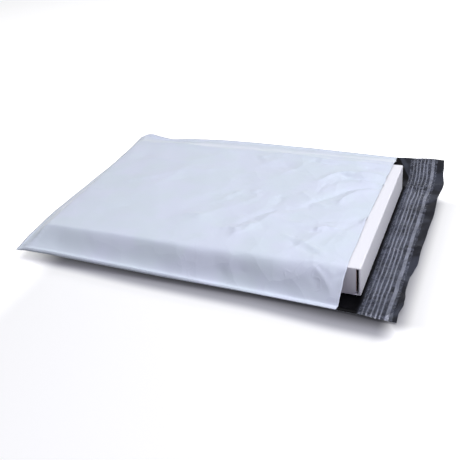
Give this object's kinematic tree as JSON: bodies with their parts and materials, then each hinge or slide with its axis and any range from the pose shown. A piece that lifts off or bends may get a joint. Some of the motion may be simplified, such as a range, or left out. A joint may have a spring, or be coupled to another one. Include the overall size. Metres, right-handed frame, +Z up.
{
  "type": "courier bag",
  "caption": "Flat film courier bag, pale outside and dark inside, lying on its back with a white carton standing out of its mouth and its adhesive closing lip open.",
  "frame": {"origin": "middle of the footprint, on the table", "axes": "+X from the closed fold to the closing lip, +Y across the bag from the near weld to the far one, +Z up through the front panel"},
  "size_m": [0.4469, 0.323, 0.0391],
  "materials": {
    "film": "satin co-extruded polythene, pale blue-white outside and dark grey inside",
    "hot_melt": "satin hot-melt adhesive",
    "release_liner": "clear glossy film",
    "carton_board": "matt white printed board, brown at its cut edges"
  },
  "bodies": {
    "root": {"mailer_film": "film", "glue_line_1": "hot_melt", "glue_line_2": "hot_melt", "glue_line_3": "hot_melt", "glue_line_4": "hot_melt", "glue_line_5": "hot_melt", "glue_line_wide": "hot_melt", "release_strip": "release_liner", "carton": "carton_board"}
  },
  "joints": []
}
